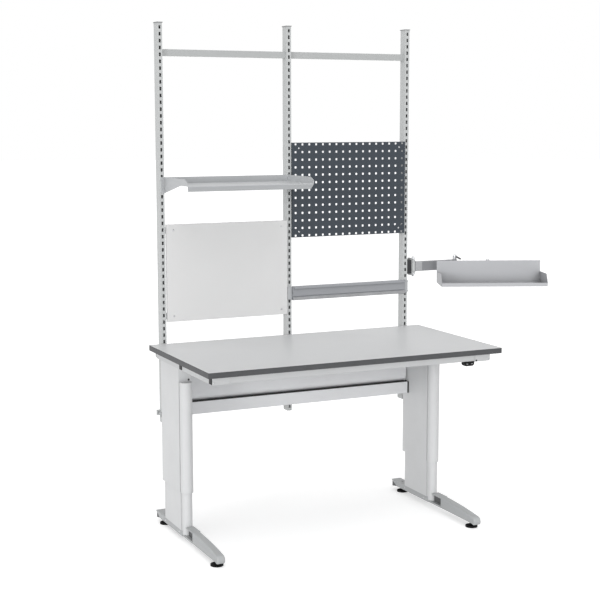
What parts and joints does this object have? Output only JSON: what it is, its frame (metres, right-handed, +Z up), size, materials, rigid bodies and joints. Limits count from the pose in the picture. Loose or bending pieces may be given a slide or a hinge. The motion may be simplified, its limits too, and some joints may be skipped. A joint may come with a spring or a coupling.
{
  "type": "height-adjustable workbench",
  "caption": "Height-adjustable workbench: laminate top on telescopic legs, slotted uprights with shelf, board, perforated panel, bin rail, and a tray on a jointed arm.",
  "frame": {"origin": "on the floor under the middle of the tabletop", "axes": "+X to the user's right along the tabletop, +Y from the front edge to the back, +Z up"},
  "size_m": [2.0655, 0.884, 2.444],
  "materials": {
    "grey_laminate": "matt laminate on board",
    "edge_band_plastic": "satin",
    "light_grey_paint": "fine powder coat",
    "dark_grey_paint": "fine powder coat",
    "white_board": "satin laminate on board",
    "black_plastic": "matt",
    "button_plastic": "matt",
    "zinc_steel": "zinc plated",
    "bronze_nut": "machined"
  },
  "bodies": {
    "left_base": {"left_inner_column": "light_grey_paint", "left_rear_foot": "light_grey_paint", "left_front_foot": "light_grey_paint", "left_foot_plug": "black_plastic", "left_spindle_nut": "bronze_nut"},
    "upper_frame": {"tabletop": "grey_laminate", "tabletop_edge_band": "edge_band_plastic", "front_rail": "light_grey_paint", "middle_rail": "light_grey_paint", "rail_end_caps": "black_plastic", "left_support": "light_grey_paint", "right_support": "light_grey_paint", "left_outer_sleeve": "light_grey_paint", "right_outer_sleeve": "light_grey_paint", "leg_glides": "black_plastic", "left_drive_unit": "black_plastic", "right_drive_unit": "black_plastic", "cross_beam": "light_grey_paint", "beam_spacers": "black_plastic", "cable_trough": "light_grey_paint", "left_upright": "light_grey_paint", "middle_upright": "light_grey_paint", "right_upright": "light_grey_paint", "upright_caps": "black_plastic", "upright_brackets": "light_grey_paint", "upright_bolts": "zinc_steel", "top_beams": "light_grey_paint", "white_panel": "white_board", "perforated_panel": "dark_grey_paint", "panel_brackets": "light_grey_paint", "panel_screws": "zinc_steel", "shelf": "light_grey_paint", "shelf_brackets": "light_grey_paint", "bin_rail": "light_grey_paint", "bin_rail_brackets": "light_grey_paint", "arm_clamp_block": "black_plastic", "arm_bracket": "light_grey_paint", "shoulder_pin": "black_plastic", "control_box": "black_plastic", "switch_housing": "black_plastic"},
    "right_base": {"right_inner_column": "light_grey_paint", "right_rear_foot": "light_grey_paint", "right_front_foot": "light_grey_paint", "right_foot_plug": "black_plastic", "right_spindle_nut": "bronze_nut"},
    "left_spindle": {"left_spindle": "zinc_steel"},
    "right_spindle": {"right_spindle": "zinc_steel"},
    "arm": {"arm_link": "light_grey_paint"},
    "clamp_lever": {"clamp_lever": "black_plastic"},
    "forearm": {"forearm": "light_grey_paint"},
    "tray": {"tray": "light_grey_paint", "tray_bracket": "light_grey_paint", "tray_pin": "black_plastic"},
    "down_button": {"down_button": "button_plastic"},
    "up_button": {"up_button": "button_plastic"},
    "left_front_pad": {"left_front_pad": "black_plastic"},
    "left_rear_pad": {"left_rear_pad": "black_plastic"},
    "right_front_pad": {"right_front_pad": "black_plastic"},
    "right_rear_pad": {"right_rear_pad": "black_plastic"}
  },
  "joints": [
    {"name": "lift", "type": "slide", "parent": "left_base", "child": "upper_frame", "axis": [0, 0, 1], "range_m": [-0.18, 0.22]},
    {"name": "right_lift", "type": "slide", "parent": "upper_frame", "child": "right_base", "axis": [0, 0, -1], "range_m": [-0.18, 0.22]},
    {"name": "left_spindle_turn", "type": "hinge", "parent": "upper_frame", "child": "left_spindle", "pos_m": [-0.672, 0.2, 0.5], "axis": [0, 0, 1], "range_deg": [-3245, 3965]},
    {"name": "right_spindle_turn", "type": "hinge", "parent": "upper_frame", "child": "right_spindle", "pos_m": [0.672, 0.2, 0.5], "axis": [0, 0, 1], "range_deg": [-3245, 3965]},
    {"name": "left_front_pad_turn", "type": "hinge", "parent": "left_base", "child": "left_front_pad", "pos_m": [-0.672, -0.277, 0.03], "axis": [0, 0, 1], "continuous": true},
    {"name": "left_rear_pad_turn", "type": "hinge", "parent": "left_base", "child": "left_rear_pad", "pos_m": [-0.672, 0.412, 0.03], "axis": [0, 0, 1], "continuous": true},
    {"name": "right_front_pad_turn", "type": "hinge", "parent": "right_base", "child": "right_front_pad", "pos_m": [0.672, -0.277, 0.03], "axis": [0, 0, 1], "continuous": true},
    {"name": "right_rear_pad_turn", "type": "hinge", "parent": "right_base", "child": "right_rear_pad", "pos_m": [0.672, 0.412, 0.03], "axis": [0, 0, 1], "continuous": true},
    {"name": "arm_shoulder", "type": "hinge", "parent": "upper_frame", "child": "arm", "pos_m": [0.7273, 0.42, 1.216], "axis": [0, 0, 1], "range_deg": [-45, 75]},
    {"name": "arm_elbow", "type": "hinge", "parent": "arm", "child": "forearm", "pos_m": [0.9833, 0.42, 1.216], "axis": [0, 0, 1], "range_deg": [-10, 75]},
    {"name": "lever_turn", "type": "hinge", "parent": "arm", "child": "clamp_lever", "pos_m": [0.9833, 0.42, 1.25], "axis": [0, 0, 1], "range_deg": [-60, 90]},
    {"name": "tray_swivel", "type": "hinge", "parent": "forearm", "child": "tray", "pos_m": [1.07546, 0.23913, 1.216], "axis": [0, 0, 1], "range_deg": [-10, 75]},
    {"name": "down_press", "type": "slide", "parent": "upper_frame", "child": "down_button", "axis": [0, 1, 0], "range_m": [0, 0.002], "stiffness_N_per_m": 1000, "springref_m": -0.001},
    {"name": "up_press", "type": "slide", "parent": "upper_frame", "child": "up_button", "axis": [0, 1, 0], "range_m": [0, 0.002], "stiffness_N_per_m": 1000, "springref_m": -0.001}
  ],
  "couplings": [
    {"joint": "right_lift", "follows": "lift", "ratio": 1},
    {"joint": "left_spindle_turn", "follows": "lift", "rad_per_m": 314.16},
    {"joint": "right_spindle_turn", "follows": "lift", "rad_per_m": 314.16}
  ]
}
